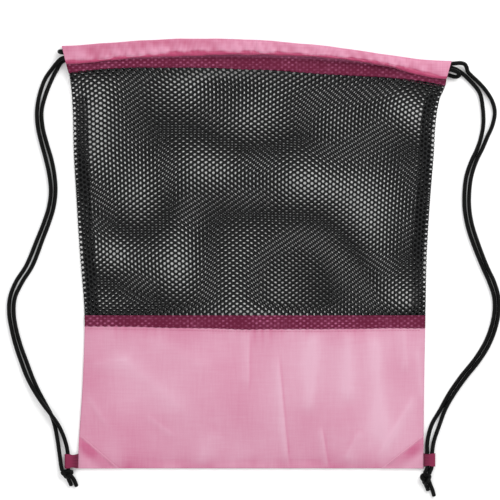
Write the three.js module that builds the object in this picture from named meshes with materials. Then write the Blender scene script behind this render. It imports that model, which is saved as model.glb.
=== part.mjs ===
// Drawstring backpack with a net upper half, lying flat on its back. Millimetres, +Z up.
// X runs across the bag, Y from the bottom seam to the mouth, Z up from the surface it lies on.
// Each layer of fabric is a thin solid, and each cord is a tube along its route.
import * as THREE from 'three';

// Driving dimensions
const GAP = 0.3; // clearance between pieces that touch
const CLOTH = 0.6; // woven fabric with its hems
const NET = 0.6; // knitted net
const BAND = 0.8; // net sewn over fabric
const SEAM = 0.4; // seam allowance and webbing between the layers
const CORD_RADIUS = 2.1;
const CORD_SIDES = 8;
const CORD_STEP = 10; // distance between the rings of a long cord
const BOTTOM = -214.6; // y of the bottom seam
const SEAM_WIDTH = 12;
const REACH = 200; // an x beyond either side of the bag
const CASING_FLAT = 19.2; // height of a casing pressed flat
const CASING_THICK = 6.2; // its thickness there, enough for one cord
const MOUTH_RISE = 8.5; // how far the front casing stands off the back one in the middle
const FRONT_CASING_Z = 6.8; // underside of the front casing at its ends

const pink = { color: 0xdea0be, roughness: 0.55, metalness: 0 };
const deepPink = { color: 0xc8558c, roughness: 0.6, metalness: 0 };
const maroon = { color: 0x691c41, roughness: 0.8, metalness: 0 };
const blackNet = { color: 0x191b1b, roughness: 0.7, metalness: 0 };
const blackCord = { color: 0x141414, roughness: 0.5, metalness: 0 };

const bag = new THREE.Group();

// A smooth line through [position, value] pairs, held level past both ends.
function through(pairs) {
  const line = new THREE.CubicInterpolant(
    pairs.map((pair) => pair[0]),
    pairs.map((pair) => pair[1]),
    1,
    new Float64Array(1),
  );
  return (position) => line.evaluate(position)[0];
}

// The outline: the two sides as x at each y, and the lines that cross the bag as y at each x.
const leftEdge = through([
  [BOTTOM, -178.5], [-123.8, -173.7], [-61.6, -172.1], [3.8, -176.9],
  [94.4, -182.5], [179.1, -187.2], [189.2, -190.2],
]);
const rightEdge = through([
  [BOTTOM, 166.9], [-155.6, 167.2], [-61.6, 168.8], [3.8, 170.4],
  [94.4, 176.8], [154.9, 183.1], [166.4, 188], [174.1, 189.5],
]);
const casingTop = through([
  [-194.6, 208], [-121, 212.7], [-81, 214.7], [-6, 213.8], [65, 208], [194.6, 192.9],
]);
const casingBottom = through([
  [-190.2, 189.2], [-121, 194.8], [-65, 197.2], [-6, 198], [57, 195.6],
  [121, 188.4], [189.5, 174.1],
]);
const netTop = through([
  [-187.2, 179.1], [-153, 183.6], [-6, 184.4], [57, 179.7], [137, 174.1], [188, 166.4],
]);
const netBottom = () => -61.6;
const panelTop = through([[-172, -72.5], [0, -75], [169, -74.2]]);
const panelBottom = () => BOTTOM;

// Height of the front layer: low at the side seams, crowned between them, higher at the mouth.
const edgeHeight = through([
  [-220, 1.7], [-100, 1.7], [0, 1.7], [70, 1.75], [110, 2], [150, 3.3], [176, 6.9], [190, 7.4],
]);
const crownHeight = through([
  [BOTTOM, 1.7], [-200, 4], [-165, 8], [-120, 10.5], [-60, 11.5], [70, 12.2],
  [150, 13], [198, 13.8],
]);
function frontHeight(x, y) {
  const left = leftEdge(y);
  const right = rightEdge(y);
  const across = (2 * x - left - right) / (right - left);
  const low = edgeHeight(y);
  return low + (crownHeight(y) - low) * (1 - across ** 4);
}
const backHeight = () => 0;

// Turns a body whose faces point inwards the right way round.
function facingOut(geometry) {
  const solid = geometry.index ? geometry.toNonIndexed() : geometry;
  const at = solid.attributes.position;
  const [a, b, c] = [new THREE.Vector3(), new THREE.Vector3(), new THREE.Vector3()];
  let volume = 0;
  for (let i = 0; i < at.count; i += 3) {
    a.fromBufferAttribute(at, i);
    b.fromBufferAttribute(at, i + 1);
    c.fromBufferAttribute(at, i + 2);
    volume += a.dot(b.cross(c));
    if (i + 3 >= at.count && volume < 0) {
      for (let j = 0; j < at.count; j += 3) {
        a.fromBufferAttribute(at, j + 1);
        b.fromBufferAttribute(at, j + 2);
        at.setXYZ(j + 1, b.x, b.y, b.z);
        at.setXYZ(j + 2, a.x, a.y, a.z);
      }
    }
  }
  solid.computeVertexNormals();
  return solid;
}

function add(name, geometry, look) {
  const mesh = new THREE.Mesh(facingOut(geometry), new THREE.MeshStandardMaterial(look));
  mesh.name = name;
  bag.add(mesh);
}

// Carries every vertex of a geometry to place(x, y, z).
function reshape(geometry, place) {
  const at = geometry.attributes.position;
  for (let i = 0; i < at.count; i += 1) {
    const [x, y, z] = place(at.getX(i), at.getY(i), at.getZ(i));
    at.setXYZ(i, x, y, z);
  }
  return geometry;
}

const lerp = THREE.MathUtils.lerp;

// A thin sheet between two lines that cross the bag and two edges that run up it.
function sheet(name, look, size) {
  const { bottom, top, left = leftEdge, right = rightEdge, under, thickness, across, up } = size;
  const along = (line, u) => line(lerp(left(line(-REACH)), right(line(REACH)), u));
  const box = new THREE.BoxGeometry(1, 1, 1, across, up, 1);
  const place = (bx, by, bz) => {
    const u = bx + 0.5;
    const y = lerp(along(bottom, u) + GAP, along(top, u) - GAP, by + 0.5);
    const x = lerp(left(y), right(y), u);
    return [x, y, under(x, y) + (bz + 0.5) * thickness];
  };
  add(name, reshape(box, place), look);
}

// Front and back layers: net above, woven panel below, and the two bands where they are sewn.
const layers = [
  { side: 'front', under: frontHeight, across: 14, fine: 8 },
  { side: 'back', under: backHeight, across: 8, fine: 6 },
];
for (const { side, under, across, fine } of layers) {
  sheet(`${side}_lower_panel`, pink, {
    bottom: panelBottom, top: panelTop, under, thickness: CLOTH, across, up: fine,
  });
  sheet(`${side}_lower_band`, maroon, {
    bottom: panelTop, top: netBottom, under, thickness: BAND, across, up: 1,
  });
  sheet(`${side}_net_panel`, blackNet, {
    bottom: netBottom, top: netTop, under, thickness: NET, across, up: fine,
  });
  sheet(`${side}_upper_band`, maroon, {
    bottom: netTop, top: casingBottom, under, thickness: BAND, across, up: 1,
  });
}

// Casings: flat tubes across the mouth, hollow for the cords. A ring is turned about an
// axis, then its turn becomes the section, its radius the wall and its height the length.
const INNER = 0.5;
const SECTION_SIDES = 16;
const CASING_STEPS = 20;
const rounded = (value) => Math.sign(value) * Math.abs(value) ** 0.6;
function casingRing() {
  const profile = [];
  for (let i = 0; i <= CASING_STEPS; i += 1) profile.push(new THREE.Vector2(1, i / CASING_STEPS));
  for (let i = CASING_STEPS; i >= 0; i -= 1) profile.push(new THREE.Vector2(INNER, i / CASING_STEPS));
  profile.push(profile[0].clone());
  return new THREE.LatheGeometry(profile, SECTION_SIDES);
}
const frontCasingUnder = (x) => FRONT_CASING_Z + MOUTH_RISE * (1 - (x / 192) ** 2);
const backCasingUnder = () => 0;
const casingThickness = (height) => CASING_THICK + 0.35 * Math.max(0, CASING_FLAT - height);
function casing(name, under) {
  const place = (rx, h, rz) => {
    const radius = Math.hypot(rx, rz);
    const wall = radius < (1 + INNER) / 2 ? CLOTH : 0;
    const upward = rounded(rx / radius);
    const outward = rounded(rz / radius);
    const rise = (upward + 1) / 2;
    const x = lerp(lerp(-190.2, -194.6, rise), lerp(189.5, 194.6, rise), h);
    const low = casingBottom(lerp(-190.2, 189.5, h));
    const high = casingTop(lerp(-194.6, 194.6, h));
    const thick = casingThickness(high - low);
    const middle = under(lerp(-192, 192, h)) + thick / 2;
    return [x, lerp(low + wall, high - wall, rise), middle + outward * (thick / 2 - wall)];
  };
  add(name, reshape(casingRing(), place), pink);
}
casing('front_casing', frontCasingUnder);
casing('back_casing', backCasingUnder);

// Side seams: the seam allowance inside each side, thicker where the layers part at the mouth.
const SEAM_Z = 1.1;
const SEAM_LOW = -198;
const SEAM_HIGH = 158;
const sideSeams = [
  ['left_side_seam', (y) => leftEdge(y) + 1, (y) => leftEdge(y) + SEAM_WIDTH],
  ['right_side_seam', (y) => rightEdge(y) - SEAM_WIDTH, (y) => rightEdge(y) - 1],
];
for (const [name, left, right] of sideSeams) {
  sheet(name, blackNet, {
    bottom: () => SEAM_LOW, top: () => SEAM_HIGH, left, right,
    under: () => SEAM_Z, thickness: SEAM, across: 1, up: 12,
  });
}
sheet('bottom_seam', pink, {
  bottom: () => BOTTOM, top: () => BOTTOM + 8, left: () => -164, right: () => 150,
  under: () => SEAM_Z, thickness: SEAM, across: 8, up: 1,
});

// Corner patches: a triangle of fabric sewn across each bottom corner, its tip cut short.
const PATCH_HIGH = -182;
const patches = [
  {
    name: 'left_corner_patch',
    left: (y) => leftEdge(y) + GAP,
    right: (y) => lerp(-137, -174.5, (y - BOTTOM) / (PATCH_HIGH - BOTTOM)),
  },
  {
    name: 'right_corner_patch',
    left: (y) => lerp(124, 165, (y - BOTTOM) / (PATCH_HIGH - BOTTOM)),
    right: (y) => rightEdge(y) - GAP,
  },
];
for (const { name, left, right } of patches) {
  sheet(name, pink, {
    bottom: panelBottom, top: () => PATCH_HIGH, left, right,
    under: (x, y) => frontHeight(x, y) + CLOTH + 2 * GAP, thickness: SEAM, across: 6, up: 5,
  });
}

// Tabs: a loop of webbing with its two ends sewn between the layers at each bottom corner.
// outer is the x of the loop's far end, root the x of the bag's edge, tail where it ends inside.
const TAB_WALL = 0.5;
const TAB_RADIUS = 3;
function tab(name, { outer, root, tail, low, high }) {
  const side = Math.sign(outer - root);
  const centre = outer - side * TAB_RADIUS;
  const eye = root + side * GAP;
  const inner = TAB_RADIUS - TAB_WALL;
  const shape = new THREE.Shape();
  shape.moveTo(tail, SEAM_Z);
  shape.lineTo(eye, SEAM_Z);
  shape.lineTo(eye, 0);
  shape.absarc(centre, TAB_RADIUS, TAB_RADIUS, -Math.PI / 2, Math.PI / 2, side < 0);
  shape.lineTo(eye, 2 * TAB_RADIUS);
  shape.lineTo(eye, SEAM_Z + SEAM);
  shape.lineTo(tail, SEAM_Z + SEAM);
  const roof = 2 * TAB_RADIUS - TAB_WALL;
  const wallX = eye + side * TAB_WALL;
  const hole = new THREE.Path(); // runs the other way round
  hole.moveTo(wallX, roof);
  hole.lineTo(centre - side, roof);
  hole.absarc(centre, TAB_RADIUS, inner, Math.PI / 2, -Math.PI / 2, side > 0);
  hole.lineTo(wallX, TAB_WALL);
  shape.holes.push(hole);
  const block = new THREE.ExtrudeGeometry(shape, {
    depth: high - low, bevelEnabled: false, curveSegments: 8,
  });
  add(name, reshape(block, (x, z, y) => [x, low + y, z]), maroon);
}
tab('left_tab', { outer: -192, root: -178.5, tail: -168, low: -214.6, high: -200 });
tab('right_tab', { outer: 178.7, root: 166.9, tail: 157, low: -212.7, high: -199.3 });

// Bar tacks: dense stitching that closes the side seams under the ends of the casings.
const TACK = { width: 2.6, length: 7, height: 2.6 };
const tacks = [['left_mouth_tack', -184.5, 174.5], ['right_mouth_tack', 181.5, 161.5]];
for (const [name, x, y] of tacks) {
  const block = new THREE.BoxGeometry(TACK.width, TACK.length, TACK.height);
  add(name, block.translate(x, y, SEAM_Z + TACK.height / 2), blackCord);
}

// Cords. Each route is a list of points that the middle of the cord passes through.
function cord(name, points, step = CORD_STEP) {
  const route = new THREE.CatmullRomCurve3(points.map(([x, y, z]) => new THREE.Vector3(x, y, z)));
  const round = new THREE.Shape();
  for (let i = 0; i < CORD_SIDES; i += 1) {
    const turn = (2 * Math.PI * i) / CORD_SIDES;
    const [x, y] = [CORD_RADIUS * Math.cos(turn), CORD_RADIUS * Math.sin(turn)];
    if (i === 0) round.moveTo(x, y);
    else round.lineTo(x, y);
  }
  const tube = new THREE.ExtrudeGeometry(round, {
    steps: Math.max(3, Math.round(route.getLength() / step)),
    extrudePath: route,
    bevelEnabled: false,
  });
  add(name, tube, blackCord);
}

// Inside each casing the right cord runs above the left one. Both keep to the middle of its
// thickness, at these distances from the middle of its height.
const RUN_END = 184;
const RUN_POINTS = 9;
function run(name, under, offsets) {
  const offset = through(offsets);
  const points = [];
  for (let i = 0; i < RUN_POINTS; i += 1) {
    const x = lerp(-RUN_END + GAP / 2, RUN_END - GAP / 2, i / (RUN_POINTS - 1));
    const [low, high] = [casingBottom(x), casingTop(x)];
    points.push([x, (low + high) / 2 + offset(x), under(x) + casingThickness(high - low) / 2]);
  }
  cord(name, points, 16);
}
run('right_cord_front_run', frontCasingUnder, [[-184, 3.1], [0, 2.4], [120, 2.6], [184, 5.4]]);
run('left_cord_front_run', frontCasingUnder, [[-184, -3], [0, -2.4], [120, -2.2], [184, 0]]);
run('right_cord_back_run', backCasingUnder, [[-184, 1.6], [0, 2.4], [120, 2.4], [184, 2.6]]);
run('left_cord_back_run', backCasingUnder, [[-184, -4.6], [0, -2.4], [120, -2.4], [184, -4.8]]);

// Bights: where each cord turns back round the far end of the mouth.
cord('right_cord_bight', [
  [-184.3, 202.3, 10.6], [-190.4, 202.4, 10.4], [-195, 202.3, 9.4], [-196.9, 202, 7],
  [-195.8, 201.5, 4.2], [-190.4, 201, 3.1], [-184.3, 200.8, 3.1],
], 3);
cord('left_cord_bight', [
  [184.3, 184.8, 10.6], [190.5, 184, 10.4], [196, 182.4, 9.6], [199.6, 180.2, 7.6],
  [200, 178.4, 5.2], [196.6, 178, 3.6], [190.8, 179.2, 3.1], [184.3, 180, 3.1],
], 3);

// Free strands, from the mouth to the knot below each tab. They lie on the surface, and the
// left ones cross above their tab.
const LAY = CORD_RADIUS + 0.15;
cord('left_front_strand', [
  [-184.3, 196.3, 10.6], [-190, 196.1, 10.6], [-195.4, 194.6, 9.2], [-200, 190.2, 6],
  [-205, 184, 3.2], [-211, 175.3, LAY], [-216.7, 160, LAY], [-219.6, 142.2, LAY],
  [-218.6, 126.2, LAY], [-215, 110.3, LAY], [-210.7, 94.4, LAY], [-207.2, 78.4, LAY],
  [-205.7, 62.5, LAY], [-207.7, 46.5, LAY], [-212.8, 30.6, LAY], [-219.2, 14.6, LAY],
  [-230.4, -12.1, LAY], [-240.6, -28.1, LAY], [-246.6, -44, LAY], [-247.4, -60, LAY],
  [-244.8, -75.9, LAY], [-240.8, -91.9, LAY], [-235.4, -107.8, LAY], [-229.2, -123.8, 3],
  [-221.5, -138, 4.7], [-213.4, -150.2, 6.6], [-204.6, -161.6, 7], [-197.4, -172.4, 5],
  [-192.2, -184.4, 3.2], [-189.2, -196, 3], [-188.4, -205, 3], [-188.2, -211, 3],
  [-188.2, -216, 3.2],
]);
cord('left_back_strand', [
  [-184.3, 194.6, 3.1], [-189.8, 194.1, 3.2], [-195.3, 191.1, 2.9], [-199.7, 184, LAY],
  [-204.3, 175.2, LAY], [-211, 158.6, LAY], [-214.9, 142.2, LAY], [-213.8, 126.2, LAY],
  [-209.8, 110.3, LAY], [-205.1, 94.4, LAY], [-202, 78.4, LAY], [-201, 62.5, LAY],
  [-202.9, 46.5, LAY], [-207.7, 30.6, LAY], [-213.8, 14.6, LAY], [-224.2, -12.1, LAY],
  [-234.2, -28.1, LAY], [-241.6, -44, LAY], [-242.7, -60, LAY], [-240.2, -75.9, LAY],
  [-235.8, -91.9, LAY], [-230, -107.8, LAY], [-224, -123.8, LAY], [-217.6, -138, LAY],
  [-210.6, -150.9, LAY], [-205.6, -160.4, LAY], [-201.8, -171.6, LAY], [-198.8, -187.5, LAY],
  [-196.3, -205.1, LAY], [-195.3, -212.6, 2.8], [-194.4, -216.4, 3.4],
]);
cord('right_front_strand', [
  [184.3, 190.2, 10.6], [190, 189.4, 10.5], [196, 189.3, 9.6], [202, 189.8, 8],
  [206.7, 188.8, 6.2], [210, 185.8, 4.4], [212.4, 181, 3], [216.4, 176.2, LAY],
  [222, 171.2, LAY], [228.6, 163.8, LAY], [235.4, 152.8, LAY], [238.1, 141.6, LAY],
  [235.8, 128.6, LAY], [230.6, 116.7, LAY], [225.6, 105, LAY], [220.3, 94.4, LAY],
  [214.9, 78.4, LAY], [212.7, 62.5, LAY], [212.6, 46.5, LAY], [215, 30.6, LAY],
  [219.9, 14.6, LAY], [230, -12.1, LAY], [237.4, -28.1, LAY], [242.1, -44, LAY],
  [242.2, -60, LAY], [239, -75.9, LAY], [233.2, -91.9, LAY], [223.7, -107.8, LAY],
  [210.9, -123.8, LAY], [199, -139.7, LAY], [189.6, -155.6, LAY], [182.6, -171.6, LAY],
  [177.2, -187.5, 2.6], [175.5, -198.7, 3], [175.2, -207, 3], [174.9, -213.6, 3.2],
  [173.2, -218.2, 3.6],
]);
cord('right_back_strand', [
  [184.3, 187.3, 3.1], [189.5, 187, 3.1], [195, 186, 2.8], [200.5, 183.8, LAY],
  [206, 180, LAY], [211, 175.2, LAY], [216.4, 169.4, LAY], [222.2, 160.4, LAY],
  [226, 146.6, LAY], [226.6, 129.4, LAY], [224, 115.1, LAY], [219.9, 103.4, LAY],
  [215.1, 93.4, LAY], [209.9, 78.4, LAY], [207.8, 62.5, LAY], [207.8, 46.5, LAY],
  [210.2, 30.6, LAY], [214.9, 14.6, LAY], [225, -11.1, LAY], [232.5, -28.1, LAY],
  [237.3, -44, LAY], [237.2, -59, LAY], [233.6, -74, LAY], [227.4, -89.4, LAY],
  [217.2, -105, LAY], [203.6, -122, LAY], [192.4, -138.6, LAY], [182.6, -155.6, LAY],
  [174.7, -171.6, LAY], [170.8, -187.5, 2.6], [170.4, -198.7, 3], [170.4, -207, 3],
  [170.7, -213.6, 3.2], [168.4, -218.4, 3.6],
]);

// Knots, each a closed solid of its outer shape, and the cut ends of the cord beyond them.
function knot(name, [x, y, z], [rx, ry, rz]) {
  add(name, new THREE.SphereGeometry(1, 14, 10).scale(rx, ry, rz).translate(x, y, z), blackCord);
}
knot('left_knot', [-189, -220.6, 4], [6.6, 4.2, 3.9]);
knot('right_knot', [169.4, -225.2, 4.4], [5.6, 5.6, 4.3]);
cord('left_knot_outer_tail', [[-187.6, -226, 3], [-186.2, -229, 2.4], [-185, -232.2, LAY]], 4);
cord('left_knot_inner_tail', [[-182.5, -224.6, 3], [-181, -228.4, 2.4], [-179.8, -232.9, LAY]], 4);
cord('right_knot_inner_tail', [[169.2, -231.3, 3], [170.4, -234, 2.4], [171.6, -237.1, LAY]], 4);
cord('right_knot_outer_tail', [[173.8, -230.3, 3], [175.6, -235.5, 2.4], [177.6, -242.7, LAY]], 4);

export default bag;
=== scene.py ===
# %% [markdown]
# # A drawstring backpack, made piece by piece
# A flat bag of pink taffeta with a wide black net window. Two black cords run through a casing
# at the mouth and come down each side to a webbing tab, so that they are both the drawstring
# and the shoulder straps. It is laid out flat, so nearly all of it is cloth a few tenths of a
# millimetre thick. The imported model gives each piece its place; the scene makes the cloth.

import bpy
import numpy as np
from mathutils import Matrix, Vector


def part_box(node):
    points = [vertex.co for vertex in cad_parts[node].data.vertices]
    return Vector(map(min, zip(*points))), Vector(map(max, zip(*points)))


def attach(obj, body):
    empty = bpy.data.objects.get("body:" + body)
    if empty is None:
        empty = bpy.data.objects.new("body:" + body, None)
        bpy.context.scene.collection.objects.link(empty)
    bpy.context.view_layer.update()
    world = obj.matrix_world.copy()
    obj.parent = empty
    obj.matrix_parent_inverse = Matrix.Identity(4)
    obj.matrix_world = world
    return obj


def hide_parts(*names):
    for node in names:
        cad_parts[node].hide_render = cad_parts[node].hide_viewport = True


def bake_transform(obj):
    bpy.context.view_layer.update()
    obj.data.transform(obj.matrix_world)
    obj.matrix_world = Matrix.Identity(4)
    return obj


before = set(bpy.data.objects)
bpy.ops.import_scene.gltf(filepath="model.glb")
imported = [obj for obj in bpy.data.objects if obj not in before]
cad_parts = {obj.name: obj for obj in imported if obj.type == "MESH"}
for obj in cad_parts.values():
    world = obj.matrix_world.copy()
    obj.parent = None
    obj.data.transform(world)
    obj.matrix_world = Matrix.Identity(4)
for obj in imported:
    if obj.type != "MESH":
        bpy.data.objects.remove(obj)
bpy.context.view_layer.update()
MM = 0.001
print("pieces in the frame:", len(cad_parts))

# %% [markdown]
# ## Camera, floor and light
# A bag laid flat is best looked at from straight above. A long lens from six metres away
# keeps the edges parallel, as in a shop's catalogue. The floor is plain white, and two wide
# lamps with a white sky give shade soft enough to show each fold without a hard edge. A small
# hard lamp would draw every wrinkle as a black line. From below the floor is clear, so that the
# bag's back can be looked at too.

# %%
# Camera straight above
EYE = (-0.0066, 0.0038, 6.0)
VIEW_WIDTH = 0.5
camera = bpy.data.objects.new("camera", bpy.data.cameras.new("camera"))
camera.data.sensor_width = 36
camera.data.lens = 36 * EYE[2] / VIEW_WIDTH
camera.data.clip_end = 20
camera.data.dof.use_dof = False
camera.location = EYE
bpy.context.collection.objects.link(camera)
bpy.context.scene.camera = camera
bpy.context.scene.view_settings.view_transform = "Standard"
print("lens, in millimetres:", camera.data.lens)


# %%
# White floor
def link(material, out, into):
    """Joins one node's output to another node's input."""
    material.node_tree.links.new(out, into)


def plain(name, colour, roughness):
    """A one-colour material, and its shader."""
    material = bpy.data.materials.new(name)
    material.use_nodes = True
    shader = material.node_tree.nodes["Principled BSDF"]
    shader.inputs["Base Color"].default_value = (*colour, 1)
    shader.inputs["Roughness"].default_value = roughness
    return material, shader


bpy.ops.mesh.primitive_plane_add(size=8, location=(0, 0, -0.0006))
floor = bpy.context.object
floor.name = "floor"
floor_finish, floor_shader = plain("white_floor", (0.96, 0.96, 0.96), 0.9)
floor_shader.inputs["Specular IOR Level"].default_value = 0
floor_shader.inputs["Emission Color"].default_value = (1, 1, 1, 1)
floor_shader.inputs["Emission Strength"].default_value = 0.05
clear = floor_finish.node_tree.nodes.new("ShaderNodeBsdfTransparent")
below = floor_finish.node_tree.nodes.new("ShaderNodeNewGeometry")
either = floor_finish.node_tree.nodes.new("ShaderNodeMixShader")
surface = floor_finish.node_tree.nodes["Material Output"].inputs["Surface"]
link(floor_finish, below.outputs["Backfacing"], either.inputs[0])
link(floor_finish, floor_shader.outputs[0], either.inputs[1])
link(floor_finish, clear.outputs[0], either.inputs[2])
link(floor_finish, either.outputs[0], surface)
floor.data.materials.append(floor_finish)
print("floor at", floor.location.z)

# %%
# Soft light
world = bpy.data.worlds.new("white_sky")
world.use_nodes = True
world.node_tree.nodes["Background"].inputs["Color"].default_value = (1, 1, 1, 1)
world.node_tree.nodes["Background"].inputs["Strength"].default_value = 0.75
bpy.context.scene.world = world
# Name, place in metres, turn in degrees, size in metres and power in watts
LAMPS = [
    ("wide_lamp", (0.9, 1.1, 1.5), (38, 0, 140), 1.4, 30),
    ("fill_lamp", (-1.2, -0.3, 1.4), (40, 0, -104), 1.2, 8),
]
for name, place, turn, size, power in LAMPS:
    lamp = bpy.data.objects.new(name, bpy.data.lights.new(name, "AREA"))
    lamp.data.size = size
    lamp.data.energy = power
    lamp.location = place
    lamp.rotation_euler = np.radians(turn)
    bpy.context.collection.objects.link(lamp)
    print(name, power, "W")

# %% [markdown]
# ## Lines, surfaces and meshes
# Every edge of the bag is a smooth line through a few measured points, in millimetres. A sheet
# is a grid of points between four such lines, given a thickness so that it is a closed solid.
# Working the points out as whole arrays is quick, and one short helper then puts any array of
# points and faces into a mesh.


# %%
# Smooth lines
def through(pairs):
    """A smooth line through (t, value) pairs, held level past both ends.

    Between two pairs it is the cubic whose slope at each is the mean of the slopes beside it.
    """
    t, value = np.array(pairs, float).T
    slope = np.diff(value) / np.diff(t)
    lean = np.concatenate([[0], (slope[1:] + slope[:-1]) / 2, [0]])

    def line(at):
        at = np.clip(at, t[0], t[-1])
        i = np.clip(np.searchsorted(t, at) - 1, 0, len(t) - 2)
        span = t[i + 1] - t[i]
        p = (at - t[i]) / span
        start = (1 + 2 * p) * value[i] + p * span * lean[i]
        end = (3 - 2 * p) * value[i + 1] + (p - 1) * span * lean[i + 1]
        return (1 - p) ** 2 * start + p**2 * end

    return line


def lerp(a, b, t):
    """From a where t is 0 to b where t is 1."""
    return a + (b - a) * t


def fade(low, high, at):
    """0 below low, 1 above high, and an even S between them."""
    t = np.clip((at - low) / (high - low), 0, 1)
    return t * t * (3 - 2 * t)


# %%
# Outline of the bag
BOTTOM = -214.6
left_edge = through([(BOTTOM, -178.5), (-123.8, -173.7), (-61.6, -172.1), (3.8, -176.9),
                     (94.4, -182.5), (179.1, -187.2), (189.2, -190.2)])
right_edge = through([(BOTTOM, 166.9), (-155.6, 167.2), (-61.6, 168.8), (3.8, 170.4),
                      (94.4, 176.8), (154.9, 183.1), (166.4, 188), (174.1, 189.5)])
casing_top = through([(-194.6, 208), (-121, 212.7), (-81, 214.7), (-6, 213.8),
                      (65, 208), (194.6, 192.9)])
casing_bottom = through([(-190.2, 189.2), (-121, 194.8), (-65, 197.2), (-6, 198),
                         (57, 195.6), (121, 188.4), (189.5, 174.1)])
net_top = through([(-187.2, 179.1), (-153, 183.6), (-6, 184.4), (57, 179.7),
                   (137, 174.1), (188, 166.4)])
panel_top = through([(-172, -72.5), (0, -75), (169, -74.2)])
NET_BOTTOM = -61.6


def bottom(x):
    return BOTTOM + 0 * x


def net_bottom(x):
    return NET_BOTTOM + 0 * x


print("mouth, in millimetres:", left_edge(189.2), "to", right_edge(174.1))


# %%
# How high the front layer lies
edge_height = through([(-220, 1.7), (-100, 1.7), (0, 1.7), (70, 1.75), (110, 2),
                       (150, 3.3), (176, 6.9), (190, 7.4)])
crown_height = through([(BOTTOM, 1.7), (-200, 4), (-165, 8), (-120, 10.5), (-60, 11.5),
                        (70, 12.2), (150, 13), (198, 13.8)])


def across(x, y):
    """-1 on the left edge, 0 in the middle and 1 on the right edge."""
    left, right = left_edge(y), right_edge(y)
    return (2 * x - left - right) / (right - left)


def crown(x, y):
    """Underside of the front layer: a low dome that comes down to the edge height."""
    return lerp(crown_height(y), edge_height(y), across(x, y) ** 4)


# %%
# Faces of a grid
def grid_faces(rows, columns, ring=False):
    """Quads between neighbouring points of a rows by columns grid; ring joins its last column
    to its first."""
    i, j = np.meshgrid(np.arange(rows - 1), np.arange(columns - (not ring)), indexing="ij")
    k = (j + 1) % columns
    corners = [i * columns + j, i * columns + k, (i + 1) * columns + k, (i + 1) * columns + j]
    return np.stack(corners, -1).reshape(-1, 4)


# %%
# Arrays into a mesh
def make(name, points, faces, material, uv=None, shade=None):
    """A mesh object from arrays: points in millimetres, faces all of one size.

    uv is a pair for each point. shade is a number for each point that a finish may read; the
    shade of a closed sheet's one side is used again for its other side.
    """
    mesh = bpy.data.meshes.new(name)
    points, faces = np.asarray(points, float).reshape(-1, 3), np.asarray(faces)
    mesh.vertices.add(len(points))
    mesh.vertices.foreach_set("co", (points * MM).astype("f").ravel())
    mesh.loops.add(faces.size)
    mesh.loops.foreach_set("vertex_index", faces.astype("i").ravel())
    mesh.polygons.add(len(faces))
    mesh.polygons.foreach_set("loop_start", np.arange(0, faces.size, faces.shape[1], dtype="i"))
    mesh.update(calc_edges=True)
    mesh.validate()
    mesh.shade_smooth()
    if uv is not None:
        layer = mesh.uv_layers.new(name="UVMap")
        layer.data.foreach_set("uv", np.asarray(uv, "f").reshape(-1, 2)[faces.ravel()].ravel())
    if shade is not None:
        mesh.attributes.new("shade", "FLOAT", "POINT")
        both_sides = np.resize(np.asarray(shade, "f"), len(points))
        mesh.attributes["shade"].data.foreach_set("value", both_sides)
    mesh.materials.append(material)
    made = bpy.data.objects.new(name, mesh)
    bpy.context.collection.objects.link(made)
    return made


# %%
# Closed sheet between two surfaces
def slab(under, over):
    """Points and quads of a closed sheet between two grids of the same size."""
    rows, columns = under.shape[:2]
    count, faces = rows * columns, grid_faces(rows, columns)
    index = np.arange(count).reshape(rows, columns)
    rim = np.concatenate([index[0], index[1:, -1], index[-1, -2::-1], index[-2:0:-1, 0]])
    after = np.roll(rim, -1)
    wall = np.stack([rim, after, after + count, rim + count], -1)
    return np.concatenate([under, over]), np.concatenate([faces[:, ::-1], faces + count, wall])


quad_points, quad_faces = slab(np.zeros((2, 2, 3)), np.ones((2, 2, 3)))
print("a closed sheet of one quad has", len(quad_faces), "faces")


# %% [markdown]
# ## Which body each piece follows
# Pulling a cord draws one end of the mouth inwards. Cloth and cord between the mouth's end and the
# bag's middle would bend with it; here they keep the place they are made in, and pieces without a side
# ride on the bag.
# Pieces that cross the whole bag are made as a left and a right half with matching points.

# %%
# The two ends of the mouth
SIDES = {
    "left": ("left_mouth_end", (-0.1314, 0.2956, 0)),
    "right": ("right_mouth_end", (0.1248, 0.291, 0)),
}


def bend_with(obj, side):
    """Bakes obj's transform into its mesh, or parents it to the bag where side is None."""
    if side is None:
        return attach(obj, "bag")
    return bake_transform(obj)


def follow(obj, side, material_slot, *nodes):
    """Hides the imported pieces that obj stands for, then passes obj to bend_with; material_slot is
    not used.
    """
    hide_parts(*nodes)
    return bend_with(obj, side)


print("mouth ends:", [end for end, _ in SIDES.values()])

# %% [markdown]
# ## Finishes
# Each finish is drawn by nodes from the piece's own coordinates, so it stays with the cloth.
# Taffeta is a plain weave of fine filament: two crossed ripples a third of a millimetre apart, a soft
# sheen, and painted shade that deepens its colour in the folds. The black yarn and cord are duller,
# the cord with a braid cut into its surface. An image of cloth would blur close up.


# %%
# Node helpers
WAVE = 0.314


def node(material, kind, **settings):
    """A new node with its settings; names that match a socket set that socket's value."""
    made = material.node_tree.nodes.new(kind)
    for key, value in settings.items():
        name = key.replace("_", " ").title()
        if name in made.inputs:
            made.inputs[name].default_value = value
        else:
            setattr(made, key, value)
    return made


def math_node(material, operation, a, b):
    """operation on two values, each a number or another node's output."""
    made = node(material, "ShaderNodeMath", operation=operation)
    for socket, value in zip(made.inputs, (a, b)):
        if isinstance(value, (int, float)):
            socket.default_value = value
        else:
            link(material, value, socket)
    return made.outputs[0]


def ripple(material, coordinates, axis, per_metre):
    """Bands along one axis, from 0 to 1. A wave texture of scale 1 has 20 / (2 pi) bands to
    the metre."""
    made = node(material, "ShaderNodeTexWave", bands_direction=axis, scale=per_metre * WAVE)
    link(material, coordinates, made.inputs["Vector"])
    return made.outputs["Fac"]


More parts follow.
